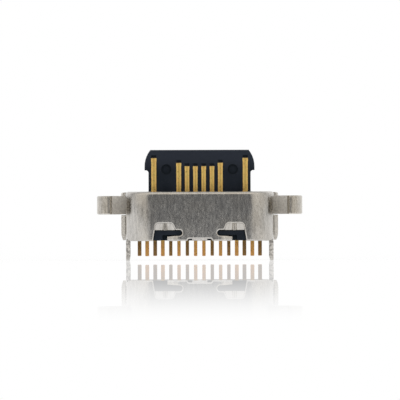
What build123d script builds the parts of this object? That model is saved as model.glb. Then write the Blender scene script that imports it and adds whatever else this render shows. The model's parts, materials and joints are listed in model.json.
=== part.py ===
from build123d import *
import os
from math import asin, cos, degrees, radians, sin

# Charging port: a reversible socket with sixteen contacts, standing on its two shell legs.
# X runs along the socket's width, Y from its front to its back, Z up, the way a plug leaves.
# The origin is midway between the two leg tips, on the plane that they stand on.
# Lengths are millimetres, angles are degrees.

# Shell: a short racetrack tube, rolled from one strip and closed at the back
shell_width = 8.94
shell_depth = 3.16
shell_wall = 0.30
shell_height = 2.965
mouth_rim_radius = 0.20
mouth_lead_in = 0.06
edge_radius = 0.09
punch_stroke = 0.45
seam_gap = 0.04
seam_lock_width = 0.70
seam_lock_height = 0.60
seam_lock_flare = 0.12

# Legs: one at each round end, cut from the same strip and pressed flat
leg_length = 1.175
leg_width = 1.00
leg_tip_corner = 0.12
leg_thickness = 0.265
leg_inset = 0.04
leg_tip_taper = 0.06
leg_tip_height = 0.28
relief_width = 0.15
relief_height = 0.12

# Windows: a mirrored pair in the front wall, each with a pushed-in flap above a slot
window_inset = 0.21
window_flare = 0.11
window_outer_shoulder = 0.07
window_inner_shoulder = 0.19
window_corner_radius = 0.20
window_step_radius = 0.08
slot_reach = 0.41
slot_post = 0.33
slot_height = 0.315
flap_height = 0.41
flap_push = 0.19
flap_sheet = 0.24
flap_margin = 0.07
dart_width = 0.30

# Side tabs: the strips under the slots, bent in round an upright line
tab_height = 0.33
tab_mouth = 0.79
tab_angle = 24
tab_bend_radius = 0.35

# Centre tab: bent in flat under the plastic, between two relief notches
centre_tab_width = 0.90
centre_tab_length = 0.60
centre_tab_root = 0.05
centre_bend_radius = 0.05
centre_relief_width = 0.28
centre_relief_height = 0.13
centre_relief_corner = 0.11

# Plastic blocks that hold the two contact rows
block_recess = 0.03
block_height = 0.965
block_gap = 0.02
boss_recess = 0.13
boss_gap = 0.03
boss_root = 0.05
boss_pocket = 0.34
pocket_gap = 0.03

# Mid plate between the two rows
plate_sheet = 0.20
plate_tip_setback = 0.45
plate_edge_cover = 0.09
plate_foot_height = 0.30
plate_key_width = 0.80
plate_key_height = 1.60
plate_key_x = 2.00
plate_key_setback = 2.50
plate_tip_radius = 0.40

# Tongue
tongue_length = 4.47
tongue_width = 6.61
tongue_thickness = 0.70
nose_length = 0.98
nose_inset = 0.35
nose_corner_radius = 0.05
lead_in_length = 0.23
lead_in_depth = 0.14
hook_length = 1.22
hook_width = 0.235
hook_fillet = 0.16
tongue_edge_bevel = 0.05
root_width = 6.90
root_depth = 1.30
root_height = 0.60
dimple_diameter = 0.62
dimple_depth = 0.15
dimple_x = 2.00
dimple_setback = 1.17
tip_pocket_length = 0.14
tip_pocket_depth = 0.08

# Contacts: stamped strips, two rows of eight
slot_count = 12
used_slots = (1, 4, 5, 6, 7, 8, 9, 12)
contact_pitch = 0.50
contact_sheet = 0.15
contact_proud = 0.03
contact_crown_width = 0.085
contact_tip_chamfer = 0.06
ground_width = 0.30
power_width = 0.285
signal_width = 0.26
ground_setback = 0.46
power_setback = 0.75
signal_setback = 0.95
head_extra = 0.012
head_length = 0.22
fan_rise = 0.50
fan_drop = 0.70
bend_start = 0.25
bend_drop = 0.35
bend_radius = 0.12

# Tails: two staggered rows with a board's edge between them
board_thickness = 0.80
tail_length = 0.915
signal_tail_width = 0.205
power_tail_width = 0.23
tail_inset = 0.54
inner_tail_steps = 3
tail_steps = 7
tail_edge_bevel = 0.03
tail_tip_chamfer = 0.03
tail_root_depth = 0.05

# Rear bracket: one sheet, welded to the back of the shell
bracket_sheet = 0.23
weld_gap = 0.02
bracket_lift = 0.04
bracket_height = 2.88
arm_height = 1.515
arm_cut = 0.04
arm_corner_run = 0.60
arm_corner_rise = 0.45
arm_top_radius = 0.20
ear_height = 1.115
ear_gap = 0.13
ear_bore_radius = 0.56
ear_curl_angle = 160
ear_edge_bevel = 0.06
ear_end_bevel = 0.07
shoulder_reach = 0.23
shoulder_radius = 0.12
weld_mark_diameter = 0.50
weld_mark_depth = 0.03
weld_mark_x = 1.75
weld_mark_z = (0.70, 2.15)

# Two lengths closer than this are taken as equal when edges are chosen
tolerance = 0.001

# Widths and setbacks by slot, counted from the nearer end of a row
contact_kinds = {
    1: {"width": ground_width, "setback": ground_setback, "tail_width": power_tail_width},
    4: {"width": power_width, "setback": power_setback, "tail_width": power_tail_width},
    5: {"width": signal_width, "setback": signal_setback, "tail_width": signal_tail_width},
    6: {"width": signal_width, "setback": signal_setback, "tail_width": signal_tail_width},
}

# Places that follow from the sizes above
shell_bottom = leg_length
front_face = shell_depth / 2
flat_half = (shell_width - shell_depth) / 2
cavity_width = shell_width - 2 * shell_wall
cavity_depth = shell_depth - 2 * shell_wall
cavity_half = cavity_depth / 2

window_outer = flat_half - window_inset
slot_end = centre_tab_width / 2 + centre_relief_width + slot_post
window_inner = slot_end + slot_reach
window_width = window_outer - window_inner
slot_floor = shell_bottom + tab_height
slot_top = slot_floor + slot_height
window_top = slot_top + flap_height
tab_free_x = window_outer - tab_mouth
dart_x = (window_outer + window_inner) / 2
tab_hinge_x = slot_end + slot_height / 2
tab_y = -cavity_half - shell_wall / 2
tab_bend_run = tab_bend_radius * sin(radians(tab_angle))
tab_run = (tab_free_x - tab_hinge_x - tab_bend_run) / cos(radians(tab_angle))
tab_depth = tab_bend_radius * (1 - cos(radians(tab_angle))) + tab_run * sin(radians(tab_angle))
flap_top_y = -front_face + edge_radius
flap_low_y = -front_face + flap_push
centre_sheet = shell_wall - edge_radius
centre_y = -cavity_half - centre_sheet / 2
centre_bend_z = shell_bottom + centre_sheet + centre_bend_radius
seam_lock_z = shell_bottom + (shell_height - seam_lock_height) / 2
leg_outer_x = shell_width / 2 - leg_inset
relief_y = (leg_width + relief_width) / 2

tab_pocket_x = (tab_hinge_x + tab_free_x + boss_pocket) / 2
tab_pocket_width = tab_free_x + boss_pocket - tab_hinge_x + 2 * pocket_gap
tab_pocket_depth = tab_depth + pocket_gap
flap_pocket_width = window_width + 2 * flap_margin + 2 * pocket_gap
flap_pocket_depth = flap_push + flap_sheet - shell_wall + pocket_gap
centre_pocket_depth = centre_bend_radius + centre_tab_length + pocket_gap

block_bottom = shell_bottom + block_recess
centre_pocket_height = centre_bend_z - block_bottom + pocket_gap
floor = block_bottom + block_height
neck_width = tongue_width - 2 * hook_width
tongue_top = floor + tongue_length
hook_z = tongue_top - hook_length
fan_top = floor + fan_rise
fan_bottom = floor - fan_drop
bend_top = floor - bend_start
bend_bottom = bend_top - bend_drop
plate_foot = block_bottom + plate_foot_height
plate_key_z = tongue_top - plate_key_setback
contact_y = tongue_thickness / 2 + contact_proud - contact_sheet / 2
tail_y = board_thickness / 2 + contact_sheet / 2
tail_end = shell_bottom - tail_length
outer_tail_x = cavity_width / 2 - tail_inset
inner_tail_x = contact_pitch * (inner_tail_steps + 0.5)
outer_tail_pitch = (outer_tail_x - inner_tail_x) / (tail_steps - inner_tail_steps)
tail_root = block_bottom + tail_root_depth

bracket_bottom = shell_bottom + bracket_lift
bracket_top = bracket_bottom + bracket_height
arm_top = bracket_bottom + arm_height
ear_bottom = arm_top + arm_cut
wrap_radius = front_face + weld_gap + bracket_sheet / 2
ear_radius = ear_bore_radius + bracket_sheet / 2
ear_x = shell_width / 2 + ear_gap + ear_bore_radius + bracket_sheet
ear_lean = degrees(asin((wrap_radius - ear_radius) / (ear_x - flat_half)))
ear_strip = (ear_x - flat_half) * cos(radians(ear_lean))
strip_start = (
    flat_half + wrap_radius * sin(radians(ear_lean)),
    wrap_radius * cos(radians(ear_lean)),
)
shoulder_strip = (shell_width / 2 + shoulder_reach - strip_start[0]) / cos(radians(ear_lean))

os.makedirs("parts", exist_ok=True)


# Contacts: strips blanked to a fanned outline and bent to the tail row's depth
def from_end(slot):
    """A slot's number, counted from the nearer end of its row."""
    return min(slot, slot_count + 1 - slot)


def contact_x(slot, side):
    """Where the contact in one of the twelve slots stands on the tongue."""
    return side * ((slot_count + 1) / 2 - slot) * contact_pitch


def tail_x(slot, side):
    """Where that contact's tail stands: the rows alternate, closer together at the outside."""
    rank = [6, 5, 4, 1].index(from_end(slot))
    steps = 2 * rank + (1 if side > 0 else 0)
    inner_steps = min(steps, inner_tail_steps)
    distance = contact_pitch / 2 + contact_pitch * inner_steps + outer_tail_pitch * (steps - inner_steps)
    return distance if contact_x(slot, side) > 0 else -distance


def build_contact(slot, side):
    """One contact: side is -1 for the front row and 1 for the back row."""
    kind = contact_kinds[from_end(slot)]
    top = tongue_top - kind["setback"]
    half = kind["width"] / 2
    head_half = half + head_extra
    tail_half = kind["tail_width"] / 2
    place = contact_x(slot, side)
    tail_place = tail_x(slot, side)
    outer_y = side * (contact_y + contact_sheet / 2)
    with BuildPart() as strip:
        with BuildSketch(Plane.XZ):
            with BuildLine():
                Polyline(
                    (place - head_half, top),
                    (place + head_half, top),
                    (place + head_half, top - head_length),
                    (place + half, top - head_length - 2 * head_extra),
                    (place + half, fan_top),
                    (tail_place + tail_half, fan_bottom),
                    (tail_place + tail_half, tail_root),
                    (tail_place - tail_half, tail_root),
                    (tail_place - tail_half, fan_bottom),
                    (place - half, fan_top),
                    (place - half, top - head_length - 2 * head_extra),
                    (place - head_half, top - head_length),
                    close=True,
                )
            make_face()
        extrude(amount=shell_depth, both=True)
        with BuildSketch(Plane.YZ):
            with BuildLine():
                FilletPolyline(
                    (side * contact_y, top),
                    (side * contact_y, bend_top),
                    (side * tail_y, bend_bottom),
                    (side * tail_y, tail_end),
                    radius=bend_radius,
                )
            trace(line_width=contact_sheet)
        extrude(amount=shell_width, both=True, mode=Mode.INTERSECT)
        tip_edges = strip.edges().group_by(Axis.Z)[-1].filter_by(Axis.X)
        chamfer(tip_edges.sort_by(Axis.Y)[0 if side < 0 else -1], length=contact_tip_chamfer)
        face_edges = strip.edges().filter_by(
            lambda edge: edge.center().Z > fan_top
            and abs(edge.center().Y - outer_y) < tolerance
            and abs(edge.tangent_at(0.5).X) < 0.9
        )
        outer_face = strip.faces().sort_by_distance((place, outer_y, (top + fan_top) / 2))[0]
        chamfer(face_edges, length=contact_crown_width, length2=contact_proud, reference=outer_face)
        with BuildSketch(Plane.XY.offset(tail_end)) as tail_section:
            with Locations((tail_place, side * tail_y)):
                Rectangle(2 * tail_half, contact_sheet)
            chamfer(tail_section.vertices(), length=tail_edge_bevel)
        extrude(amount=tail_root - tail_end)
        chamfer(strip.edges().group_by(Axis.Z)[0], length=tail_tip_chamfer)
    return strip.part


contacts = {}
for row, side in (("a", -1), ("b", 1)):
    for slot in used_slots:
        name = f"contact_{row}{slot}"
        contacts[name] = build_contact(slot, side)
        contacts[name].label = name
        export_step(contacts[name], f"parts/{name}.step")
front_contacts = [contacts[name] for name in contacts if "_a" in name]
rear_contacts = [contacts[name] for name in contacts if "_b" in name]


# Mid plate: the tongue's core, with wings that reach the shell at both ends
with BuildPart() as mid_plate:
    with BuildSketch(Plane.XZ) as plate_outline:
        with BuildLine():
            Polyline(
                (0, plate_foot),
                (cavity_width / 2 - block_gap, plate_foot),
                (cavity_width / 2 - block_gap, floor),
                (neck_width / 2, floor),
                (neck_width / 2, hook_z + plate_edge_cover),
                (tongue_width / 2 - plate_edge_cover, hook_z + plate_edge_cover),
                (tongue_width / 2 - plate_edge_cover, tongue_top - plate_tip_setback),
                (0, tongue_top - plate_tip_setback),
                (0, plate_foot),
            )
        make_face()
        fillet(plate_outline.vertices().group_by(Axis.Y)[-1].sort_by(Axis.X)[-1], radius=plate_tip_radius)
        mirror(about=Plane.YZ)
        with Locations((-plate_key_x, plate_key_z), (plate_key_x, plate_key_z)):
            RectangleRounded(plate_key_width, plate_key_height, plate_key_width / 4, mode=Mode.SUBTRACT)
    extrude(amount=plate_sheet / 2, both=True)
mid_plate.part.label = "mid_plate"
export_step(mid_plate.part, "parts/mid_plate.step")


# Tongue: moulded round the plate and both contact rows
with BuildPart() as tongue_housing:
    with BuildSketch(Plane.XZ) as tongue_front:
        with BuildLine():
            Polyline(
                (0, tongue_top),
                (0, floor),
                (neck_width / 2, floor),
                (neck_width / 2, hook_z),
                (tongue_width / 2, hook_z),
                (tongue_width / 2, tongue_top - nose_length),
            )
            TangentArc(
                (tongue_width / 2, tongue_top - nose_length),
                (tongue_width / 2 - nose_inset, tongue_top),
                tangent=(0, 1),
            )
            Line((tongue_width / 2 - nose_inset, tongue_top), (0, tongue_top))
        make_face()
        hook_corner = tongue_front.vertices().sort_by_distance((neck_width / 2, hook_z))[0]
        fillet(hook_corner, radius=hook_fillet)
        nose_corner = tongue_front.vertices().sort_by_distance((tongue_width / 2 - nose_inset, tongue_top))[0]
        fillet(nose_corner, radius=nose_corner_radius)
        mirror(about=Plane.YZ)
    extrude(amount=tongue_thickness / 2, both=True)
    side_edges = tongue_housing.edges().filter_by(
        lambda edge: abs(edge.center().X) > neck_width / 2 - tolerance
        and abs(edge.tangent_at(0.5).Y) < 0.5
        and edge.center().Z > floor + tolerance
    )
    chamfer(side_edges, length=tongue_edge_bevel)
    with BuildSketch(Plane.YZ) as tongue_side:
        with BuildLine():
            Polyline(
                (-tongue_thickness / 2, floor),
                (tongue_thickness / 2, floor),
                (tongue_thickness / 2, tongue_top - lead_in_length),
                (tongue_thickness / 2 - lead_in_depth, tongue_top),
                (lead_in_depth - tongue_thickness / 2, tongue_top),
                (-tongue_thickness / 2, tongue_top - lead_in_length),
                close=True,
            )
        make_face()
        fillet(tongue_side.vertices().group_by(Axis.Y)[-1], radius=nose_corner_radius)
    extrude(amount=tongue_width, both=True, mode=Mode.INTERSECT)

    # Root inside the shell
    with BuildSketch(Plane.XY.offset(floor)):
        RectangleRounded(root_width, root_depth, root_depth / 3)
    extrude(amount=root_height)

    # Marks that the mould leaves on both faces
    for side, row_contacts in ((-1, front_contacts), (1, rear_contacts)):
        face_plane = Plane.XZ.offset(-side * tongue_thickness / 2)
        with BuildSketch(face_plane):
            with Locations((-dimple_x, tongue_top - dimple_setback), (dimple_x, tongue_top - dimple_setback)):
                Circle(dimple_diameter / 2)
        extrude(amount=side * dimple_depth, mode=Mode.SUBTRACT)
        for slot in used_slots:
            kind = contact_kinds[from_end(slot)]
            with BuildSketch(face_plane):
                with Locations((contact_x(slot, side), tongue_top - kind["setback"])):
                    Rectangle(kind["width"], tip_pocket_length, align=(Align.CENTER, Align.MIN))
            extrude(amount=side * tip_pocket_depth, mode=Mode.SUBTRACT)
    add([mid_plate.part, *contacts.values()], mode=Mode.SUBTRACT)
tongue_housing.part.label = "tongue_housing"
export_step(tongue_housing.part, "parts/tongue_housing.step")


# Side tab: the strip under a slot, bent in round an upright line
with BuildPart() as side_tab:
    with BuildSketch(Plane.XY.offset(shell_bottom)):
        with BuildLine():
            bend_line = JernArc((tab_hinge_x, tab_y), (1, 0), tab_bend_radius, tab_angle)
            PolarLine(bend_line @ 1, tab_run, angle=tab_angle)
        trace(line_width=shell_wall)
    extrude(amount=tab_height)
    tab_edges = side_tab.edges().filter_by(
        lambda edge: edge.center().Y < -cavity_half and abs(edge.tangent_at(0.5).X) > 0.8
    )
    fillet(tab_edges, radius=edge_radius)

# Centre tab: bent in flat under the plastic
with BuildPart() as centre_tab:
    with BuildSketch(Plane.YZ):
        with BuildLine():
            drop_line = Line((centre_y, centre_bend_z + centre_tab_root), (centre_y, centre_bend_z))
            turn_line = JernArc(drop_line @ 1, drop_line % 1, centre_bend_radius + centre_sheet / 2, 90)
            PolarLine(turn_line @ 1, centre_tab_length, angle=0)
        trace(line_width=centre_sheet)
    extrude(amount=centre_tab_width / 2, both=True)

# Flap: the pushed-in top of a window, stiffened by a dart
with BuildPart() as flap:
    with BuildSketch(Plane.YZ.offset(window_inner - flap_margin)):
        with BuildLine():
            Polyline(
                (flap_top_y, window_top + flap_margin),
                (flap_low_y, slot_top),
                (flap_low_y + flap_sheet, slot_top),
                (flap_top_y + flap_sheet, window_top + flap_margin),
                close=True,
            )
        make_face()
    extrude(amount=window_width + 2 * flap_margin)
    with BuildSketch(Plane.XY.offset(slot_top)):
        with BuildLine():
            dart_arc = CenterArc((dart_x, flap_low_y), dart_width / 2, 180, 180)
            Line(dart_arc @ 0, dart_arc @ 1)
        make_face()
    extrude(amount=flap_height)

# Leg: pressed flat below the shell's round end
with BuildPart() as leg:
    with BuildSketch(Plane.XZ):
        with BuildLine():
            Polyline(
                (leg_outer_x - leg_thickness, shell_bottom),
                (leg_outer_x - leg_thickness, leg_tip_height),
                (leg_outer_x - leg_thickness + leg_tip_taper, 0),
                (leg_outer_x, 0),
                (leg_outer_x, shell_bottom),
                close=True,
            )
        make_face()
    extrude(amount=leg_width / 2, both=True)
    tip_corners = leg.edges().filter_by(Axis.X).group_by(Axis.Z)[0]
    chamfer(tip_corners, length=leg_tip_corner)


# Outer shell
with BuildPart() as outer_shell:
    with BuildSketch(Plane.XY.offset(shell_bottom)):
        SlotOverall(shell_width, shell_depth)
        SlotOverall(cavity_width, cavity_depth, mode=Mode.SUBTRACT)
    extrude(amount=shell_height)
    mouth_face = outer_shell.faces().sort_by(Axis.Z)[-1]
    fillet(mouth_face.outer_wire().edges(), radius=mouth_rim_radius)
    mouth_face = outer_shell.faces().sort_by(Axis.Z)[-1]
    chamfer(mouth_face.inner_wires()[0].edges(), length=mouth_lead_in)
    lower_face = outer_shell.faces().sort_by(Axis.Z)[0]
    fillet(lower_face.outer_wire().edges(), radius=edge_radius)

    # Windows, cut with the strip below each slot
    with BuildSketch(Plane.XZ.offset(front_face)) as window:
        with BuildLine():
            Polyline(
                (tab_hinge_x, slot_floor),
                (tab_hinge_x, shell_bottom - edge_radius),
                (window_outer + window_flare, shell_bottom - edge_radius),
                (window_outer + window_flare, shell_bottom),
                (window_outer, slot_top),
                (window_outer - window_outer_shoulder, window_top),
                (window_inner + window_inner_shoulder, window_top),
                (window_inner, slot_top),
                (tab_hinge_x, slot_top),
            )
            ThreePointArc(
                (tab_hinge_x, slot_top),
                (slot_end, slot_top - slot_height / 2),
                (tab_hinge_x, slot_floor),
            )
        make_face()
        fillet(window.vertices().group_by(Axis.Y)[-1], radius=window_corner_radius)
        fillet(window.vertices().sort_by_distance((window_inner, slot_top))[0], radius=window_step_radius)
        mirror(about=Plane.YZ)
    extrude(amount=-punch_stroke, mode=Mode.SUBTRACT)

    # Notch for the centre tab and its two reliefs
    with BuildSketch(Plane.XZ.offset(front_face)) as centre_notch:
        with Locations((0, shell_bottom)):
            Rectangle(centre_tab_width + 2 * centre_relief_width, 2 * centre_relief_height)
        fillet(centre_notch.vertices().group_by(Axis.Y)[-1], radius=centre_relief_corner)
    extrude(amount=-punch_stroke, mode=Mode.SUBTRACT)

    # Rolled-over edges that the punch leaves round these openings
    wall_face = outer_shell.faces().sort_by(Axis.Y)[0]
    punched_edges = wall_face.outer_wire().edges().filter_by(
        lambda edge: edge.center().Z < window_top + edge_radius
        and edge.center().Z > shell_bottom + 1.1 * edge_radius
        and abs(edge.center().X) < flat_half - tolerance
        and abs(abs(edge.center().X) - tab_hinge_x) > tolerance
    )
    fillet(punched_edges, radius=edge_radius)

    # Relief notches beside the legs
    with BuildSketch(Plane.YZ):
        with Locations((-relief_y, shell_bottom), (relief_y, shell_bottom)):
            Rectangle(relief_width, 2 * relief_height)
    extrude(amount=shell_width, both=True, mode=Mode.SUBTRACT)

    # Seam at the back, with its dovetail lock
    with BuildSketch(Plane.XZ.offset(-front_face)):
        with BuildLine():
            Polyline(
                (0, shell_bottom - edge_radius),
                (0, seam_lock_z),
                (-seam_lock_width / 2 + seam_lock_flare, seam_lock_z),
                (-seam_lock_width / 2, seam_lock_z + seam_lock_height),
                (seam_lock_width / 2, seam_lock_z + seam_lock_height),
                (seam_lock_width / 2 - seam_lock_flare, seam_lock_z),
            )
        trace(line_width=seam_gap)
    extrude(amount=punch_stroke, mode=Mode.SUBTRACT)

    # What is bent out of the wall
    for feature in (flap, side_tab, leg):
        add(feature.part)
        mirror(feature.part, about=Plane.YZ)
    add(centre_tab.part)
outer_shell.part.label = "outer_shell"
export_step(outer_shell.part, "parts/outer_shell.step")


# Window boss: plastic that fills the lower part of a window
with BuildPart() as window_boss:
    with BuildSketch(Plane.XZ.offset(front_face - boss_recess)):
        with BuildLine():
            Polyline(
                (tab_hinge_x, slot_floor + boss_gap),
                (tab_free_x + boss_pocket, slot_floor + boss_gap),
                (tab_free_x + boss_pocket, block_bottom),
                (window_outer + window_flare - boss_gap, block_bottom),
                (window_outer - boss_gap, slot_top - boss_gap),
                (tab_hinge_x, slot_top - boss_gap),
            )
            ThreePointArc(
                (tab_hinge_x, slot_top - boss_gap),
                (slot_end + boss_gap, slot_top - slot_height / 2),
                (tab_hinge_x, slot_floor + boss_gap),
            )
        make_face()
    extrude(amount=-(shell_wall + block_gap - boss_recess + boss_root))

# Blocks: each row's moulding fills its half of the shell below the tongue
for name, side, row_contacts in (
    ("front_terminal_block", -1, front_contacts),
    ("rear_terminal_block", 1, rear_contacts),
):
    with BuildPart() as terminal_block:
        with BuildSketch(Plane.XY.offset(block_bottom)):
            SlotOverall(cavity_width - 2 * block_gap, cavity_depth - 2 * block_gap)
            Rectangle(cavity_width, cavity_depth, align=(Align.CENTER, Align.MIN if side < 0 else Align.MAX),
                      mode=Mode.SUBTRACT)
        extrude(amount=block_height)
        if side < 0:
            # Room for what is bent in from the shell's front wall
            with BuildSketch(Plane.XZ.offset(cavity_half)):
                with Locations((0, block_bottom)):
                    Rectangle(centre_tab_width + 2 * pocket_gap, 2 * centre_pocket_height)
            extrude(amount=-centre_pocket_depth, mode=Mode.SUBTRACT)
            with BuildSketch(Plane.XZ.offset(cavity_half)):
                for mirror_x in (-1, 1):
                    with Locations((mirror_x * tab_pocket_x, block_bottom)):
                        Rectangle(tab_pocket_width, 2 * (slot_floor - block_bottom + pocket_gap))
            extrude(amount=-tab_pocket_depth, mode=Mode.SUBTRACT)
            with BuildSketch(Plane.XZ.offset(cavity_half)):
                for mirror_x in (-1, 1):
                    with Locations((mirror_x * dart_x, slot_top - pocket_gap)):
                        Rectangle(flap_pocket_width, block_height, align=(Align.CENTER, Align.MIN))
            extrude(amount=-flap_pocket_depth, mode=Mode.SUBTRACT)
            add(window_boss.part)
            mirror(window_boss.part, about=Plane.YZ)
        add([mid_plate.part, *row_contacts], mode=Mode.SUBTRACT)
    terminal_block.part.label = name
    export_step(terminal_block.part, f"parts/{name}.step")


# Ear: the bracket's upper strip, led out past the shell and rolled forward, open towards the shell
with BuildPart() as ear:
    with BuildSketch(Plane.XY.offset(ear_bottom)):
        with BuildLine():
            strip_line = PolarLine(strip_start, ear_strip, angle=-ear_lean)
            JernArc(strip_line @ 1, strip_line % 1, ear_radius, -ear_curl_angle)
        trace(line_width=bracket_sheet)
    extrude(amount=ear_height)
    rolled_edges = ear.edges().filter_by(GeomType.CIRCLE).filter_by(
        lambda edge: abs(edge.radius - ear_bore_radius - bracket_sheet) < tolerance
    )
    chamfer(rolled_edges, length=ear_edge_bevel)
    free_edge = ear.edges().filter_by(Axis.Z).sort_by(Axis.Y)[0]
    chamfer(free_edge, length=ear_end_bevel)

# Rear bracket
with BuildPart() as rear_bracket:
    with BuildSketch(Plane.XY.offset(bracket_bottom)):
        with BuildLine():
            back_line = Line((0, wrap_radius), (flat_half, wrap_radius))
            JernArc(back_line @ 1, back_line % 1, wrap_radius, -ear_lean)
        trace(line_width=bracket_sheet)
    extrude(amount=bracket_height)

    # Shoulder of the ear strip, a little taller than the roll
    with BuildSketch(Plane.XY.offset(ear_bottom)):
        with BuildLine():
            PolarLine(strip_start, shoulder_strip, angle=-ear_lean)
        trace(line_width=bracket_sheet)
    extrude(amount=bracket_top - ear_bottom)
    shoulder_edge = rear_bracket.edges().group_by(Axis.Z)[-1].sort_by(Axis.X)[-1]
    fillet(shoulder_edge, radius=shoulder_radius)

    # Arm that wraps the shell's round end below the ear
    with BuildSketch(Plane.XY.offset(bracket_bottom)):
        with BuildLine():
            JernArc((flat_half, wrap_radius), (1, 0), wrap_radius, -90)
        trace(line_width=bracket_sheet)
    extrude(amount=arm_height)
    arm_edge = rear_bracket.edges().filter_by(
        lambda edge: abs(edge.center().Y) < tolerance and abs(edge.center().Z - arm_top) < tolerance
    )
    fillet(arm_edge, radius=arm_top_radius)
    with BuildSketch(Plane.YZ):
        with BuildLine():
            Polyline(
                (-bracket_sheet, bracket_bottom - bracket_sheet),
                (arm_corner_run, bracket_bottom - bracket_sheet),
                (arm_corner_run, bracket_bottom),
                (0, bracket_bottom + arm_corner_rise),
                (-bracket_sheet, bracket_bottom + arm_corner_rise),
                close=True,
            )
        make_face()
    extrude(amount=shell_width, mode=Mode.SUBTRACT)
    add(ear.part)
    mirror(about=Plane.YZ)

    # Marks of the four spot welds that join it to the shell
    with BuildSketch(Plane.XZ.offset(-wrap_radius - bracket_sheet / 2)):
        for mark_z in weld_mark_z:
            with Locations((-weld_mark_x, bracket_bottom + mark_z), (weld_mark_x, bracket_bottom + mark_z)):
                Circle(weld_mark_diameter / 2)
    extrude(amount=weld_mark_depth, mode=Mode.SUBTRACT)
rear_bracket.part.label = "rear_bracket"
export_step(rear_bracket.part, "parts/rear_bracket.step")
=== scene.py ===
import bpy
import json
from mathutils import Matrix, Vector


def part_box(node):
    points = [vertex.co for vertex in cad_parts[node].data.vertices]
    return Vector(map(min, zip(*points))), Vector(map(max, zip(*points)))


bl_info = {
    "name": "Charging port",
    "version": (1, 0, 0),
    "blender": (4, 5, 0),
    "location": "View3D > Sidebar > Charging port",
    "description": "Dresses a board-mounted charging port in steel, plastic and gold, and sets up its studio",
    "category": "Object",
}

import json
import math

import bmesh
import bpy
from bpy.props import FloatProperty, FloatVectorProperty, PointerProperty
from mathutils import Vector

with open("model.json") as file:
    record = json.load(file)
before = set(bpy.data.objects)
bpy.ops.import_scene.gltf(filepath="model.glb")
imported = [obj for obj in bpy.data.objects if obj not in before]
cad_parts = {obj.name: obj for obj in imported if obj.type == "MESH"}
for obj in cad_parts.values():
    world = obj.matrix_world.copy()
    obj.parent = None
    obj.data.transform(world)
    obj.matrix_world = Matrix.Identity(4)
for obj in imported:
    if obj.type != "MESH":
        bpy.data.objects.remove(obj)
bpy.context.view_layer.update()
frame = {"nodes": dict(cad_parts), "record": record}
NODES = frame["nodes"]
RECORD = frame["record"]

# Positions are in the frame's metres. Sizes that a maker reads in millimetres are times MM.
MM = 0.001
MERGE_DISTANCE = 0.0002 * MM
SHARP_ANGLE = math.radians(32)
FLAT_ANGLE = math.radians(0.1)

# Rolled steel. Tones are shares of the steel's own colour, and each pair is a dark and a light one.
GRAIN_STRETCH = 5
BROAD_GRAIN = 3.4
GRAIN_TONES = (0.68, 1.11)
STAIN_SIZE = 1.3 * MM
STAIN_TINT = (0.93, 0.89, 0.82)
STAIN_STRENGTH = 0.30
PIT_SIZE = 0.05 * MM
PIT_TONE = 0.45
PIT_STRENGTH = 0.30
PIT_DEPTH = 0.6
RUBBED_EDGE_TONE = 1.28
RUBBED_EDGE_STRENGTH = 0.45

# Patchy faces: the legs' sheared edges, and the bracket's arms where they look to the front.
# Real steel is metal all over. The arms have less metal and lighter tones, a painted highlight, to come near
# the photo's bright strips.
PATCH_SIZE = (0.10 * MM, 0.10 * MM, 0.13 * MM)
LEG_TONES = (0.55, 1.30)
ARM_HIGHLIGHT_TONES = (1.08, 1.34)
ARM_HIGHLIGHT_METAL = 0.25
EAR_STRIP_CLEARANCE = 0.10 * MM

# How far a face has to look along an axis to count, from where it starts to where it counts fully
SQUARE_ON = (0.80, 0.95)
TO_FRONT = (-0.30, -0.55)

# Moulded plastic
FLOW_SIZE = (0.9 * MM, 0.9 * MM, 1.8 * MM)
FLOW_TONES = (0.72, 1.35)
FLECK_SIZE = (0.035 * MM, 0.035 * MM, 0.11 * MM)
FLECK_COLOUR = (0.060, 0.062, 0.072)
FLECK_STRENGTH = 0.20
MOULD_EDGE_RADIUS = 0.016 * MM
MOULD_EDGE_COLOUR = (0.050, 0.050, 0.056)
MOULD_EDGE_STRENGTH = 0.40
NOSE_LENGTH = 0.4 * MM
NOSE_STRENGTH = 0.75
# Painted shade: the tone that recesses darken towards
RECESS_SHADE_TONE = 0.30
PLASTIC_GLOSS = 0.35
PLASTIC_GLOSS_TINT = (0.60, 0.80, 1.0, 1.0)

# Contacts. The tints are painted shade: they darken the flat crowns, and darken and brown the tails, against
# the plating.
STAMP_LINE_SIZE = (0.020 * MM, 0.020 * MM, 0.5 * MM)
CLOUD_SIZE = (0.12 * MM, 0.12 * MM, 0.34 * MM)
PLATING_TONES = (1.09, 1.20)
CONTACT_EDGE_RADIUS = 0.018 * MM
# Painted highlight: a lighter gold laid along the contacts' edges
CONTACT_EDGE_HIGHLIGHT = (1.0, 0.86, 0.52)
CONTACT_EDGE_HIGHLIGHT_STRENGTH = 0.60
SPECK_SIZE = (0.05 * MM, 0.05 * MM, 0.13 * MM)
SPECK_TONE = 0.34
SPECK_STRENGTH = 0.55
CROWN_SHADE_TINT = (0.85, 0.85, 0.85)
TAIL_SHADE_TINT = (0.76, 0.60, 0.60)
TAIL_TOP = (0.05 * MM, 0.15 * MM)
BARE_END = (0.045 * MM, 0.020 * MM)
BARE_END_WAVER = 0.03 * MM

# Where the bracket is spot welded to the shell, and how strongly the heat has stained it there
WELD_ASIDE = 1.75 * MM
WELD_HEIGHTS = (1.915 * MM, 3.365 * MM)
WELD_RADIUS = 0.25 * MM
WELD_HALO = 0.10 * MM
WELD_STRENGTH = 0.55

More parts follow.
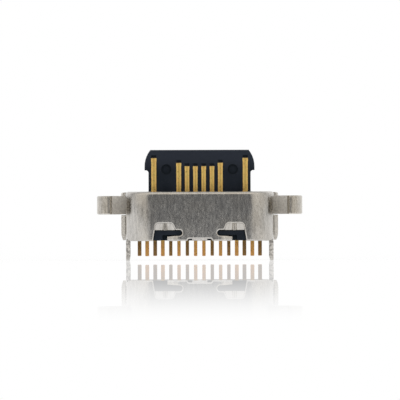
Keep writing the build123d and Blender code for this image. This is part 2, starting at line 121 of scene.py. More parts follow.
# The studio, in metres and watts: lamps are a name, a place, a width, a height and a power
LAMPS = (
    ("softbox_left", (-0.26, -0.20, 0.13), 0.20, 0.26, 0.30),
    ("softbox_right", (0.26, -0.20, 0.13), 0.20, 0.26, 0.30),
    ("softbox_top", (0.0, -0.05, 0.32), 0.36, 0.26, 0.30),
)
FILL_LIGHT = 0.35
FLOOR_REACH = 0.6
FLOOR_IOR = 1.45
SHADOW_CORE = 9 * MM
SENSOR_WIDTH = 36.0
NEAREST_SEEN = 0.01
FURTHEST_SEEN = 3.0
# The world counts as a bounce itself, so light that met only the floor's mirror has a depth of 2
FIRST_BOUNCE = 2.5

SLOT_COLOUR = {m["slot"]: tuple(m["base_color"][:3]) for m in RECORD["materials"]}
FRONT_CONTACTS = sorted(name for name in NODES if name.startswith("contact_a"))
REAR_CONTACTS = sorted(name for name in NODES if name.startswith("contact_b"))


# Settings that a user would change

def colour(name, description, default):
    return FloatVectorProperty(
        name=name, description=description, subtype="COLOR", size=3, min=0.0, max=1.0, default=default
    )


def length(name, description, default):
    return FloatProperty(
        name=name, description=description, unit="LENGTH", precision=6, min=0.0, default=default
    )


def share(name, description, default):
    return FloatProperty(
        name=name, description=description, subtype="FACTOR", min=0.0, max=1.0, default=default
    )


class PortSteelSettings(bpy.types.PropertyGroup):
    shell_colour: colour("Shell", "Colour of the rolled shell's steel", SLOT_COLOUR["shell_steel"])
    bracket_colour: colour("Bracket", "Colour of the bracket's steel", SLOT_COLOUR["bracket_steel"])
    plate_colour: colour("Plate", "Colour of the plate in the tongue", SLOT_COLOUR["plate_steel"])
    heat_colour: colour("Heat stain", "Colour that welding leaves on the bracket's back", (0.24, 0.19, 0.15))
    grain_pitch: length("Grain pitch", "Distance between two of the rolled grain's lines", 0.045 * MM)
    grain_depth: length("Grain depth", "How deep the grain's lines are", 0.0016 * MM)
    roughness: share("Roughness", "How dull the steel is", 0.22)
    sheared_roughness: share("Sheared roughness", "How dull the patchy faces are", 0.52)
    edge_radius: length("Edge radius", "How far a sheared edge is rubbed round", 0.022 * MM)


class PortPlasticSettings(bpy.types.PropertyGroup):
    colour: colour("Colour", "Colour of the moulded plastic", SLOT_COLOUR["black_plastic"])
    fibre_pitch: length("Fibre pitch", "Size of the glass fibre's fleck in the skin", 0.06 * MM)
    texture_depth: length("Texture depth", "How deep the spark-eroded texture is", 0.0012 * MM)
    rubbed_colour: colour("Rubbed", "Colour of the tongue's nose, where plugs rub it", (0.026, 0.029, 0.040))
    rubbed_length: length("Rubbed length", "How far down the tongue the rubbing ends", 1.5 * MM)
    # Painted shade: a recess darkens where a wall is this near
    recess_shade_reach: length("Recess depth", "How far off a wall may be that darkens a recess", 0.35 * MM)
    roughness: share("Roughness", "How dull the plastic is", 0.42)


class PortContactSettings(bpy.types.PropertyGroup):
    plating: colour("Plating", "Colour of the gold plating", SLOT_COLOUR["contact_gold"])
    # Painted shade: the back row's plating colour is darker, standing in for the shadow that row sits in
    rear_shade_plating: colour("Back row plating", "Colour of the back row's plating", (0.46, 0.35, 0.14))
    base_metal: colour("Base metal", "Copper alloy that shows where a tail was cut off", (0.56, 0.30, 0.17))
    roughness: share("Roughness", "How dull the plating is", 0.47)
    stamp_depth: length("Stamping depth", "How deep the stamping's lines are", 0.0012 * MM)


class PortStageSettings(bpy.types.PropertyGroup):
    floor_colour: colour("Floor", "Colour of the floor", (0.86, 0.86, 0.86))
    floor_light: share("Floor light", "How bright the lit floor is beside the object", 0.62)
    board_start: length("Board start", "How far in front of the object the white board fades", 10 * MM)
    board_end: length("Board end", "How far in front of the object the white board has ended", 30 * MM)
    shadow: share("Shadow", "How much of the object's shadow the floor shows", 0.22)
    shadow_reach: length("Shadow reach", "How far from the object the shadow fades out", 60 * MM)
    mirror: share("Mirror", "How much of the object the floor mirrors beside it", 0.57)
    mirror_fade: length("Mirror fade", "How far in front of the object the mirroring fades", 54 * MM)
    mirror_reach: length("Mirror reach", "How far in front of the object the mirroring ends", 129 * MM)
    polish_back: length("Polish back", "How far behind the object the floor's polish ends", 3 * MM)
    polish_side: length("Polish side", "How far beside the middle the floor's polish starts to end", 14 * MM)
    frame_width: length("Frame width", "Width of the picture at the object", 24.08 * MM)
    eye_height: length("Eye height", "Height that the camera looks along", 3.625 * MM)
    eye_aside: length("Eye aside", "How far right of the middle the camera stands", 0.023 * MM)
    eye_distance: length("Eye distance", "Distance from the camera to the object's middle", 250 * MM)
    roll: FloatProperty(
        name="Roll", description="How far the camera leans", unit="ROTATION", default=math.radians(0.2)
    )


# Node helpers

def start_material(name):
    """A new material with one Principled shader: the material, its tree and the shader."""
    material = bpy.data.materials.new(name)
    material.use_nodes = True
    tree = material.node_tree
    tree.nodes.clear()
    output = tree.nodes.new("ShaderNodeOutputMaterial")
    shader = tree.nodes.new("ShaderNodeBsdfPrincipled")
    tree.links.new(shader.outputs["BSDF"], output.inputs["Surface"])
    return material, tree, shader


def place(tree):
    """The piece's own coordinates, in metres."""
    return tree.nodes.new("ShaderNodeTexCoord").outputs["Object"]


def part_of(tree, axis):
    """The piece's own X, Y or Z, in metres."""
    separate = tree.nodes.new("ShaderNodeSeparateXYZ")
    tree.links.new(place(tree), separate.inputs["Vector"])
    return separate.outputs[axis]


def noise(tree, size, detail=3.0, roughness=0.5, seed=0.0):
    """Noise whose blobs are size big along X, Y and Z, in metres."""
    mapping = tree.nodes.new("ShaderNodeMapping")
    mapping.inputs["Scale"].default_value = [1 / s for s in size]
    mapping.inputs["Location"].default_value = (seed, 1.7 * seed, 2.3 * seed)
    tree.links.new(place(tree), mapping.inputs["Vector"])
    texture = tree.nodes.new("ShaderNodeTexNoise")
    texture.inputs["Scale"].default_value = 1.0
    texture.inputs["Detail"].default_value = detail
    texture.inputs["Roughness"].default_value = roughness
    tree.links.new(mapping.outputs["Vector"], texture.inputs["Vector"])
    return texture.outputs["Fac"]


def remap(tree, value, low, high, out_low=0.0, out_high=1.0, smooth=False):
    """value moved from low..high to out_low..out_high and held there."""
    node = tree.nodes.new("ShaderNodeMapRange")
    node.interpolation_type = "SMOOTHSTEP" if smooth else "LINEAR"
    for name, number in (("From Min", low), ("From Max", high), ("To Min", out_low), ("To Max", out_high)):
        node.inputs[name].default_value = number
    tree.links.new(value, node.inputs["Value"])
    return node.outputs["Result"]


def feed(tree, socket, value):
    """Sets a socket to a number or a colour, or links another node's output to it."""
    if isinstance(value, (int, float)):
        socket.default_value = value
    elif isinstance(value, (tuple, list)):
        socket.default_value = (*value[:3], 1.0)
    else:
        tree.links.new(value, socket)


def calculate(tree, operation, a, b=0.0):
    node = tree.nodes.new("ShaderNodeMath")
    node.operation = operation
    for socket, value in zip(node.inputs, (a, b)):
        feed(tree, socket, value)
    return node.outputs["Value"]


def mix_value(tree, factor, a, b):
    """a where factor is 0, b where it is 1."""
    node = tree.nodes.new("ShaderNodeMix")
    for socket, value in ((node.inputs[0], factor), (node.inputs[2], a), (node.inputs[3], b)):
        feed(tree, socket, value)
    return node.outputs[0]


def mix_colour(tree, factor, a, b):
    """Colour a where factor is 0, b where it is 1."""
    node = tree.nodes.new("ShaderNodeMix")
    node.data_type = "RGBA"
    for socket, value in ((node.inputs[0], factor), (node.inputs[6], a), (node.inputs[7], b)):
        feed(tree, socket, value)
    return node.outputs[2]


def spread(tree, mask, strength, tone, over):
    """over laid on tone where mask is 1, as strongly as strength says."""
    return mix_colour(tree, calculate(tree, "MULTIPLY", mask, strength), tone, over)


def scaled(rgb, factor):
    """A colour made darker or lighter by a factor, no lighter than white."""
    return tuple(min(1.0, c * factor) for c in rgb)


def tinted(tree, tone, tint):
    """A tone times a tint, channel by channel."""
    node = tree.nodes.new("ShaderNodeVectorMath")
    node.operation = "MULTIPLY"
    node.inputs[1].default_value = tint
    tree.links.new(tone, node.inputs[0])
    return node.outputs["Vector"]


def bump(tree, height, depth, normal=None):
    """A normal that stands up and down by depth where height runs from 0 to 1."""
    node = tree.nodes.new("ShaderNodeBump")
    node.inputs["Strength"].default_value = 1.0
    node.inputs["Distance"].default_value = depth
    tree.links.new(height, node.inputs["Height"])
    if normal is not None:
        tree.links.new(normal, node.inputs["Normal"])
    return node.outputs["Normal"]


def rounded(tree, radius):
    """The normal of edges that are rubbed round."""
    node = tree.nodes.new("ShaderNodeBevel")
    node.samples = 6
    node.inputs["Radius"].default_value = radius
    return node.outputs["Normal"]


def edge_mask(tree, rounded_normal):
    """1 along edges, 0 on open faces."""
    true_normal = tree.nodes.new("ShaderNodeNewGeometry").outputs["True Normal"]
    dot = tree.nodes.new("ShaderNodeVectorMath")
    dot.operation = "DOT_PRODUCT"
    tree.links.new(rounded_normal, dot.inputs[0])
    tree.links.new(true_normal, dot.inputs[1])
    return remap(tree, dot.outputs["Value"], 0.995, 0.90)


# Finishes

def facing(tree, axis):
    """How far a face looks along an axis, from -1 to 1."""
    separate = tree.nodes.new("ShaderNodeSeparateXYZ")
    tree.links.new(tree.nodes.new("ShaderNodeNewGeometry").outputs["True Normal"], separate.inputs["Vector"])
    return separate.outputs[axis]


def aside_of(tree):
    """Distance from the middle along X, in metres."""
    return calculate(tree, "ABSOLUTE", part_of(tree, "X"))


def sheared_leg_edges(tree, foot):
    """1 on the legs' front and back edges, which the press sheared, below the shell's foot."""
    along = remap(tree, calculate(tree, "ABSOLUTE", facing(tree, "Y")), *SQUARE_ON)
    return calculate(tree, "MULTIPLY", along, remap(tree, part_of(tree, "Z"), foot, foot - 0.05 * MM))


def front_faces_within(tree, reach):
    """1 on faces that look to the front, also at a slant, and are nearer to the middle than reach."""
    to_front = remap(tree, facing(tree, "Y"), *TO_FRONT)
    return calculate(tree, "MULTIPLY", to_front, remap(tree, aside_of(tree), reach, reach - 0.03 * MM))


def near_welds(tree):
    """1 on the back at each spot weld, fading out from inside the electrode's mark to past it."""
    across = calculate(tree, "SUBTRACT", aside_of(tree), WELD_ASIDE)
    nearest = None
    for height in WELD_HEIGHTS:
        up = calculate(tree, "SUBTRACT", part_of(tree, "Z"), height)
        squares = [calculate(tree, "MULTIPLY", value, value) for value in (across, up)]
        distance = calculate(tree, "SQRT", calculate(tree, "ADD", *squares))
        nearest = distance if nearest is None else calculate(tree, "MINIMUM", nearest, distance)
    mark = remap(tree, nearest, WELD_RADIUS + WELD_HALO, WELD_RADIUS - WELD_HALO, smooth=True)
    return calculate(tree, "MULTIPLY", mark, remap(tree, facing(tree, "Y"), *SQUARE_ON))


def steel(name, base, settings, grain, patch_and_highlight_faces=None, limit=0.0, tones=LEG_TONES, metal=1.0,
          welded=False):
    """Rolled steel strip: grain is the direction that its lines run, X, Y or Z.

    The face mask picks faces of uneven tone up to a limit. They have their own tones and metal share; on the
    bracket's arms, the lighter tones and lower metal share are a painted highlight.
    """
    material, tree, shader = start_material(name)
    pitch = settings.grain_pitch
    stretch = [GRAIN_STRETCH if axis == grain else 1 for axis in "XYZ"]
    fine = noise(tree, [pitch * s for s in stretch], detail=4.0, roughness=0.65)
    broad = noise(tree, [pitch * BROAD_GRAIN * s for s in stretch], detail=2.0, seed=3.1)
    lines = mix_value(tree, 0.35, fine, broad)
    stains = noise(tree, [STAIN_SIZE] * 3, detail=4.0, roughness=0.6, seed=7.7)
    pits = remap(tree, noise(tree, [PIT_SIZE] * 3, detail=1.0, seed=11.0), 0.66, 0.74)
    edge_normal = rounded(tree, settings.edge_radius)
    rubbed = edge_mask(tree, edge_normal)
    dark, light = (scaled(base, factor) for factor in GRAIN_TONES)
    tone = mix_colour(tree, remap(tree, lines, 0.37, 0.63), dark, light)
    stained = tuple(c * tint for c, tint in zip(base, STAIN_TINT))
    tone = mix_colour(tree, remap(tree, stains, 0.42, 0.62, 0.0, STAIN_STRENGTH), tone, stained)
    tone = spread(tree, pits, PIT_STRENGTH, tone, scaled(base, PIT_TONE))
    tone = spread(tree, rubbed, RUBBED_EDGE_STRENGTH, tone, scaled(base, RUBBED_EDGE_TONE))
    dull = settings.roughness
    rough = remap(tree, lines, 0.34, 0.66, dull - 0.05, dull + 0.08)
    height = calculate(tree, "SUBTRACT", lines, calculate(tree, "MULTIPLY", pits, PIT_DEPTH))
    shader.inputs["Metallic"].default_value = 1.0
    if patch_and_highlight_faces is not None:
        patch_and_highlight = patch_and_highlight_faces(tree, limit)
        patches = noise(tree, PATCH_SIZE, detail=4.0, roughness=0.6, seed=19.0)
        # On the bracket's arms these lighter tones and the lower metal share are a painted highlight
        dark, light = (scaled(base, factor) for factor in tones)
        tone = mix_colour(tree, patch_and_highlight, tone, mix_colour(tree, remap(tree, patches, 0.40, 0.60), dark, light))
        rough = mix_value(tree, patch_and_highlight, rough, settings.sheared_roughness)
        if metal < 1.0:
            tree.links.new(mix_value(tree, patch_and_highlight, 1.0, metal), shader.inputs["Metallic"])
    if welded:
        tone = spread(tree, near_welds(tree), WELD_STRENGTH, tone, tuple(settings.heat_colour))
    tree.links.new(tone, shader.inputs["Base Color"])
    tree.links.new(rough, shader.inputs["Roughness"])
    tree.links.new(bump(tree, height, settings.grain_depth, edge_normal), shader.inputs["Normal"])
    return material


def plastic(settings):
    """Glass-filled black plastic with the mould's fine spark-eroded skin."""
    material, tree, shader = start_material("moulded_black_plastic")
    base = tuple(settings.colour)
    fibres = noise(tree, [settings.fibre_pitch] * 3, detail=3.0, roughness=0.6)
    flow = noise(tree, FLOW_SIZE, detail=3.0, seed=2.0)
    flecks = remap(tree, noise(tree, FLECK_SIZE, detail=1.0, seed=5.0), 0.64, 0.72)
    edge_normal = rounded(tree, MOULD_EDGE_RADIUS)
    dark, light = (scaled(base, factor) for factor in FLOW_TONES)
    tone = mix_colour(tree, remap(tree, flow, 0.35, 0.65), dark, light)
    tone = spread(tree, flecks, FLECK_STRENGTH, tone, FLECK_COLOUR)
    tone = spread(tree, edge_mask(tree, edge_normal), MOULD_EDGE_STRENGTH, tone, MOULD_EDGE_COLOUR)
    # Plugs have rubbed the tongue's nose lighter
    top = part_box("tongue_housing")[1].z
    nose = remap(tree, part_of(tree, "Z"), top - settings.rubbed_length, top - NOSE_LENGTH, smooth=True)
    tone = spread(tree, nose, NOSE_STRENGTH, tone, tuple(settings.rubbed_colour))
    # Painted shade: recesses, such as the ejector marks, are darkened against the open skin where walls are
    # near
    recess_shade = tree.nodes.new("ShaderNodeAmbientOcclusion")
    recess_shade.samples = 8
    recess_shade.inputs["Distance"].default_value = settings.recess_shade_reach
    tone = mix_colour(tree, remap(tree, recess_shade.outputs["AO"], 0.55, 0.95), scaled(base, RECESS_SHADE_TONE), tone)
    tree.links.new(tone, shader.inputs["Base Color"])
    dull = settings.roughness
    tree.links.new(remap(tree, fibres, 0.35, 0.65, dull - 0.08, dull + 0.10), shader.inputs["Roughness"])
    shader.inputs["Specular IOR Level"].default_value = PLASTIC_GLOSS
    shader.inputs["Specular Tint"].default_value = PLASTIC_GLOSS_TINT
    tree.links.new(bump(tree, fibres, settings.texture_depth, edge_normal), shader.inputs["Normal"])
    return material


def plated_contact(settings, name, plating, tail_end):
    """Gold plating over stamped strip, with bare copper alloy where the tail was cut off."""
    material, tree, shader = start_material(name)
    lines = noise(tree, STAMP_LINE_SIZE, detail=3.0)
    cloud = noise(tree, CLOUD_SIZE, detail=3.0, seed=4.0)
    edge_normal = rounded(tree, CONTACT_EDGE_RADIUS)
    dark, light = (scaled(plating, factor) for factor in PLATING_TONES)
    tone = mix_colour(tree, remap(tree, cloud, 0.38, 0.62), dark, light)
    # Painted highlight: lighter gold along the edges
    tone = spread(tree, edge_mask(tree, edge_normal), CONTACT_EDGE_HIGHLIGHT_STRENGTH, tone, CONTACT_EDGE_HIGHLIGHT)
    # Painted shade: the flat crown is darker than its flanks, and the tails are darker and browner than the
    # bars
    flank = remap(tree, calculate(tree, "ABSOLUTE", facing(tree, "X")), 0.06, 0.25)
    tone = mix_colour(tree, flank, tinted(tree, tone, CROWN_SHADE_TINT), tone)
    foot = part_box("front_terminal_block")[0].z
    tail = remap(tree, part_of(tree, "Z"), foot + TAIL_TOP[0], foot - TAIL_TOP[1])
    tone = mix_colour(tree, tail, tone, tinted(tree, tone, TAIL_SHADE_TINT))
    specks = remap(tree, noise(tree, SPECK_SIZE, detail=2.0, seed=9.0), 0.58, 0.68)
    tone = spread(tree, specks, SPECK_STRENGTH, tone, scaled(plating, SPECK_TONE))
    # The cut end's plating stops at a wavering line
    height = calculate(tree, "ADD", part_of(tree, "Z"), calculate(tree, "MULTIPLY", cloud, BARE_END_WAVER))
    bare = remap(tree, height, tail_end + BARE_END[0], tail_end + BARE_END[1])
    tone = mix_colour(tree, bare, tone, tuple(settings.base_metal))
    tree.links.new(tone, shader.inputs["Base Color"])
    shader.inputs["Metallic"].default_value = 1.0
    dull = settings.roughness
    tree.links.new(remap(tree, lines, 0.35, 0.65, dull - 0.05, dull + 0.07), shader.inputs["Roughness"])
    tree.links.new(bump(tree, lines, settings.stamp_depth, edge_normal), shader.inputs["Normal"])
    return material


def softening_tree():
    """Geometry nodes that join a CAD node's loose triangles and shade them smooth between sharp edges."""
    tree = bpy.data.node_groups.new("Soften", "GeometryNodeTree")
    tree.interface.new_socket("Geometry", in_out="INPUT", socket_type="NodeSocketGeometry")
    merge_input = tree.interface.new_socket("Merge distance", in_out="INPUT", socket_type="NodeSocketFloat")
    merge_input.default_value = MERGE_DISTANCE
    angle_input = tree.interface.new_socket("Sharp angle", in_out="INPUT", socket_type="NodeSocketFloat")
    angle_input.default_value = SHARP_ANGLE
    tree.interface.new_socket("Geometry", in_out="OUTPUT", socket_type="NodeSocketGeometry")
    start = tree.nodes.new("NodeGroupInput")
    end = tree.nodes.new("NodeGroupOutput")
    merge = tree.nodes.new("GeometryNodeMergeByDistance")
    smooth = tree.nodes.new("GeometryNodeSetShadeSmooth")
    sharp = tree.nodes.new("GeometryNodeSetShadeSmooth")
    sharp.domain = "EDGE"
    sharp.inputs["Shade Smooth"].default_value = False
    angle = tree.nodes.new("GeometryNodeInputMeshEdgeAngle")
    compare = tree.nodes.new("ShaderNodeMath")
    compare.operation = "GREATER_THAN"
    links = tree.links
    links.new(start.outputs["Geometry"], merge.inputs["Geometry"])
    links.new(start.outputs["Merge distance"], merge.inputs["Distance"])
    links.new(merge.outputs["Geometry"], smooth.inputs["Geometry"])
    links.new(smooth.outputs["Geometry"], sharp.inputs["Geometry"])
    links.new(angle.outputs["Unsigned Angle"], compare.inputs[0])
    links.new(start.outputs["Sharp angle"], compare.inputs[1])
    links.new(compare.outputs["Value"], sharp.inputs["Selection"])
    links.new(sharp.outputs["Geometry"], end.inputs["Geometry"])
    return tree


def dress(names, material):
    """Gives CAD nodes their material and smooth shading. Their meshes stay as they are."""
    tree = bpy.data.node_groups.get("Soften") or softening_tree()
    for name in names:
        piece = NODES[name]
        piece.data.materials.clear()
        piece.data.materials.append(material)
        soften = piece.modifiers.new("Soften", "NODES")
        soften.node_group = tree
        flats = piece.modifiers.new("Join flats", "DECIMATE")
        flats.decimate_type = "DISSOLVE"
        flats.angle_limit = FLAT_ANGLE
        weigh = piece.modifiers.new("Weigh normals", "WEIGHTED_NORMAL")
        weigh.mode = "FACE_AREA"
        weigh.weight = 100
        weigh.keep_sharp = True


class PORT_OT_dress_shell(bpy.types.Operator):
    """Gives the rolled shell its satin steel"""

    bl_idname = "port.dress_shell"
    bl_label = "Dress the shell"

    def execute(self, context):
        settings = context.scene.port_steel
        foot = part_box("front_terminal_block")[0].z
        dress(
            ["outer_shell"],
            steel("rolled_shell_steel", tuple(settings.shell_colour), settings, "Z", sheared_leg_edges, foot),
        )
        return {"FINISHED"}


class PORT_OT_dress_bracket(bpy.types.Operator):
    """Gives the rear bracket its satin steel"""

    bl_idname = "port.dress_bracket"
    bl_label = "Dress the bracket"

    def execute(self, context):
        settings = context.scene.port_steel
        ear = next(mount for mount in RECORD["mounts"] if mount["name"] == "ear_right")
        # Front faces of the arms within this reach get a painted highlight: lighter tones and less metal
        highlight_reach = ear["pos_m"][0] - EAR_STRIP_CLEARANCE
        bracket_steel = steel(
            "bracket_strip_steel", tuple(settings.bracket_colour), settings, "Z",
            front_faces_within, highlight_reach, ARM_HIGHLIGHT_TONES, ARM_HIGHLIGHT_METAL, welded=True,
        )
        dress(["rear_bracket"], bracket_steel)
        return {"FINISHED"}


class PORT_OT_dress_plate(bpy.types.Operator):
    """Gives the plate in the tongue its steel"""

    bl_idname = "port.dress_plate"
    bl_label = "Dress the plate"

    def execute(self, context):
        settings = context.scene.port_steel
        dress(["mid_plate"], steel("latch_plate_steel", tuple(settings.plate_colour), settings, "X"))
        return {"FINISHED"}


class PORT_OT_dress_mouldings(bpy.types.Operator):
    """Gives the tongue and the two terminal blocks their black plastic"""

    bl_idname = "port.dress_mouldings"
    bl_label = "Dress the mouldings"

    def execute(self, context):
        dress(
            ["tongue_housing", "front_terminal_block", "rear_terminal_block"],
            plastic(context.scene.port_plastic),
        )
        return {"FINISHED"}


class PORT_OT_dress_contacts(bpy.types.Operator):
    """Gives both rows of contacts their gold plating"""

    bl_idname = "port.dress_contacts"
    bl_label = "Dress the contacts"

    def execute(self, context):
        settings = context.scene.port_contact
        tail_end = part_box(FRONT_CONTACTS[0])[0].z
        front = plated_contact(settings, "gold_plated_contact", tuple(settings.plating), tail_end)
        # The back row's darker plating colour is painted shade
        rear = plated_contact(settings, "rear_contact_painted_shade", tuple(settings.rear_shade_plating), tail_end)
        dress(FRONT_CONTACTS, front)
        dress(REAR_CONTACTS, rear)
        return {"FINISHED"}


# Stage

def floor_material(settings):
    """A pale floor, white to the camera but for the object's shadow and its faint mirror image."""
    material = bpy.data.materials.new("studio_floor")
    material.use_nodes = True
    tree = material.node_tree
    tree.nodes.clear()
    output = tree.nodes.new("ShaderNodeOutputMaterial")
    matt = tree.nodes.new("ShaderNodeBsdfDiffuse")
    matt.inputs["Color"].default_value = (*settings.floor_colour, 1.0)

    # Near the object the matt floor shows and takes its shadow, further off it is lit white
    distance = tree.nodes.new("ShaderNodeVectorMath")
    distance.operation = "LENGTH"
    tree.links.new(place(tree), distance.inputs[0])
    near = remap(
        tree, distance.outputs["Value"], SHADOW_CORE, settings.shadow_reach, settings.shadow, 0.0, smooth=True
    )
    shade = tree.nodes.new("ShaderNodeBsdfDiffuse")
    shaded = mix_colour(tree, near, (0.0, 0.0, 0.0), tuple(settings.floor_colour))
    tree.links.new(shaded, shade.inputs["Color"])
    glow = tree.nodes.new("ShaderNodeEmission")
    glow.inputs["Color"].default_value = (1.0, 1.0, 1.0, 1.0)
    lost = calculate(tree, "MULTIPLY", near, settings.floor_light)
    lit = calculate(tree, "SUBTRACT", 1.0, lost)
    # Metal mirrors a floor that darkens ahead, towards the tone of the studio's dark corner
    from_gloss = tree.nodes.new("ShaderNodeLightPath").outputs["Is Glossy Ray"]
    corner = STUDIO_TONES[0][1][0]
    ahead = remap(
        tree, part_of(tree, "Y"), -settings.board_end, -settings.board_start, corner, 1.0, smooth=True
    )
    mirrored = mix_value(tree, from_gloss, 1.0, ahead)
    tree.links.new(calculate(tree, "MULTIPLY", lit, mirrored), glow.inputs["Strength"])
    pale = tree.nodes.new("ShaderNodeAddShader")
    tree.links.new(shade.outputs["BSDF"], pale.inputs[0])
    tree.links.new(glow.outputs["Emission"], pale.inputs[1])

    mirror = tree.nodes.new("ShaderNodeBsdfGlossy")
    mirror.inputs["Color"].default_value = (1.0, 1.0, 1.0, 1.0)
    mirror.inputs["Roughness"].default_value = 0.0
    # Only the floor in front is polished, and like any gloss it mirrors little when seen from above
    depth = part_of(tree, "Y")
    fade = remap(
        tree, depth, -settings.mirror_reach, -settings.mirror_fade, 0.0, settings.mirror, smooth=True
    )
    before = remap(tree, depth, settings.polish_back, 0.0)
    beside = remap(tree, aside_of(tree), 2 * settings.polish_side, settings.polish_side)
    gloss = tree.nodes.new("ShaderNodeFresnel")
    gloss.inputs["IOR"].default_value = FLOOR_IOR
    polish = calculate(tree, "MULTIPLY", calculate(tree, "MULTIPLY", before, beside), gloss.outputs["Fac"])
    polished = mix_shader(
        tree, calculate(tree, "MULTIPLY", fade, polish), pale.outputs["Shader"], mirror.outputs["BSDF"]
    )
    whole = mix_shader(tree, seen_directly(tree), matt.outputs["BSDF"], polished)
    tree.links.new(whole, output.inputs["Surface"])
    return material


def mix_shader(tree, factor, a, b):
    node = tree.nodes.new("ShaderNodeMixShader")
    tree.links.new(factor, node.inputs["Fac"])
    tree.links.new(a, node.inputs[1])
    tree.links.new(b, node.inputs[2])
    return node.outputs["Shader"]


def seen_directly(tree):
    """1 for rays from the camera, from gloss and through glass, 0 for light that falls on matt faces."""
    path = tree.nodes.new("ShaderNodeLightPath").outputs
    either = calculate(tree, "MAXIMUM", path["Is Camera Ray"], path["Is Glossy Ray"])
    return calculate(tree, "MAXIMUM", either, path["Is Transmission Ray"])


# What polished metal mirrors in the studio, by the Y of the direction: from the camera's dark
# corner past the warm front boards and the greyer sides to the white wall at the back
STUDIO_TONES = (
    (-1.000, (0.155, 0.163, 0.175)),
    (-0.965, (0.165, 0.170, 0.178)),
    (-0.900, (0.940, 0.890, 0.810)),
    (-0.500, (0.960, 0.915, 0.840)),
    (0.000, (0.600, 0.590, 0.570)),
    (0.180, (0.640, 0.630, 0.620)),
    (0.550, (1.000, 1.000, 1.000)),
)


def studio_world():
    """White all round to the camera. Metal mirrors the studio's boards and its dark corner."""
    world = bpy.data.worlds.new("studio")
    bpy.context.scene.world = world
    world.use_nodes = True
    tree = world.node_tree
    tree.nodes.clear()
    output = tree.nodes.new("ShaderNodeOutputWorld")
    seen_light = tree.nodes.new("ShaderNodeBackground")
    fill_light = tree.nodes.new("ShaderNodeBackground")
    fill_light.inputs["Color"].default_value = (1.0, 1.0, 1.0, 1.0)
    fill_light.inputs["Strength"].default_value = FILL_LIGHT
    direction = tree.nodes.new("ShaderNodeTexCoord").outputs["Generated"]
    separate = tree.nodes.new("ShaderNodeSeparateXYZ")
    tree.links.new(direction, separate.inputs["Vector"])
    ramp = tree.nodes.new("ShaderNodeValToRGB")
    tones = ramp.color_ramp.elements
    while len(tones) < len(STUDIO_TONES):
        tones.new(0.5)
    for tone, (depth, colour_there) in zip(tones, STUDIO_TONES):
        tone.position = (depth + 1) / 2
        tone.color = (*colour_there, 1.0)
    tree.links.new(remap(tree, separate.outputs["Y"], -1.0, 1.0), ramp.inputs["Fac"])
    path = tree.nodes.new("ShaderNodeLightPath").outputs
    # The camera sees the same white in the floor's mirror. Metal sees the studio's tones in it.
    first_bounce = calculate(tree, "LESS_THAN", path["Ray Depth"], FIRST_BOUNCE)
    floor_mirror = calculate(tree, "MULTIPLY", path["Is Singular Ray"], first_bounce)
    direct = calculate(tree, "MAXIMUM", path["Is Camera Ray"], floor_mirror)
    seen = mix_colour(tree, direct, ramp.outputs["Color"], (1.0, 1.0, 1.0))
    tree.links.new(seen, seen_light.inputs["Color"])
    whole = mix_shader(
        tree, seen_directly(tree), fill_light.outputs["Background"], seen_light.outputs["Background"]
    )
    tree.links.new(whole, output.inputs["Surface"])


def softbox(name, position, width, height, power, aim):
    """A soft lamp turned to aim, which metal doesn't mirror."""
    light = bpy.data.lights.new(name, "AREA")
    light.shape = "RECTANGLE"
    light.size = width
    light.size_y = height
    light.energy = power
    lamp = bpy.data.objects.new(name, light)
    bpy.context.scene.collection.objects.link(lamp)
    lamp.location = position
    lamp.rotation_mode = "QUATERNION"
    lamp.rotation_quaternion = (Vector(aim) - Vector(position)).to_track_quat("-Z", "Y")
    lamp.visible_glossy = False


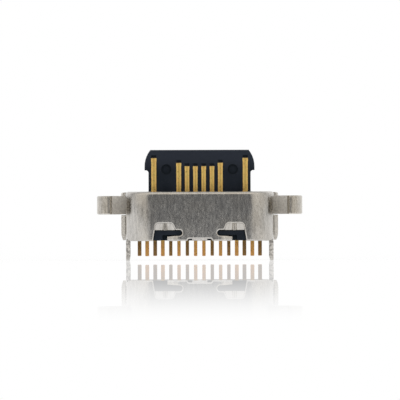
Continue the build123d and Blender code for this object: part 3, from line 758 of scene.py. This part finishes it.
class PORT_OT_set_stage(bpy.types.Operator):
    """Sets up the floor, the lamps, the white world and the camera"""

    bl_idname = "port.set_stage"
    bl_label = "Set the stage"

    def execute(self, context):
        settings = context.scene.port_stage
        scene = context.scene
        mesh = bpy.data.meshes.new("studio_floor")
        plan = bmesh.new()
        bmesh.ops.create_grid(plan, x_segments=4, y_segments=4, size=FLOOR_REACH)
        plan.to_mesh(mesh)
        plan.free()
        floor = bpy.data.objects.new("studio_floor", mesh)
        scene.collection.objects.link(floor)
        mesh.materials.append(floor_material(settings))
        studio_world()
        aim = (0.0, 0.0, settings.eye_height)
        for lamp in LAMPS:
            softbox(*lamp, aim)
        camera_data = bpy.data.cameras.new("photo_camera")
        camera_data.sensor_width = SENSOR_WIDTH
        camera_data.lens = SENSOR_WIDTH * settings.eye_distance / settings.frame_width
        camera_data.clip_start = NEAREST_SEEN
        camera_data.clip_end = FURTHEST_SEEN
        camera = bpy.data.objects.new("photo_camera", camera_data)
        scene.collection.objects.link(camera)
        camera.location = (settings.eye_aside, -settings.eye_distance, settings.eye_height)
        camera.rotation_euler = (math.pi / 2, settings.roll, 0.0)
        scene.camera = camera
        scene.view_settings.view_transform = "Standard"
        return {"FINISHED"}


class PORT_PT_panel(bpy.types.Panel):
    """Lists what dresses the charging port"""

    bl_idname = "PORT_PT_panel"
    bl_label = "Charging port"
    bl_space_type = "VIEW_3D"
    bl_region_type = "UI"
    bl_category = "Charging port"

    def draw(self, context):
        for title, settings, operators in PANEL_ROWS:
            box = self.layout.box()
            box.label(text=title)
            group = getattr(context.scene, settings)
            for name in group.__annotations__:
                box.prop(group, name)
            for operator in operators:
                box.operator(operator)


PANEL_ROWS = (
    ("Steel", "port_steel", ("port.dress_shell", "port.dress_bracket", "port.dress_plate")),
    ("Plastic", "port_plastic", ("port.dress_mouldings",)),
    ("Contacts", "port_contact", ("port.dress_contacts",)),
    ("Stage", "port_stage", ("port.set_stage",)),
)
SETTINGS = {
    "port_steel": PortSteelSettings,
    "port_plastic": PortPlasticSettings,
    "port_contact": PortContactSettings,
    "port_stage": PortStageSettings,
}
CLASSES = (
    *SETTINGS.values(),
    PORT_OT_dress_shell,
    PORT_OT_dress_bracket,
    PORT_OT_dress_plate,
    PORT_OT_dress_mouldings,
    PORT_OT_dress_contacts,
    PORT_OT_set_stage,
    PORT_PT_panel,
)


def register():
    for cls in CLASSES:
        bpy.utils.register_class(cls)
    for name, group in SETTINGS.items():
        setattr(bpy.types.Scene, name, PointerProperty(type=group))


def unregister():
    for name in SETTINGS:
        delattr(bpy.types.Scene, name)
    for cls in reversed(CLASSES):
        bpy.utils.unregister_class(cls)


def main():
    register()
    bpy.ops.port.dress_shell()
    bpy.ops.port.dress_bracket()
    bpy.ops.port.dress_plate()
    bpy.ops.port.dress_mouldings()
    bpy.ops.port.dress_contacts()
    bpy.ops.port.set_stage()


if __name__ == "__main__":
    main()
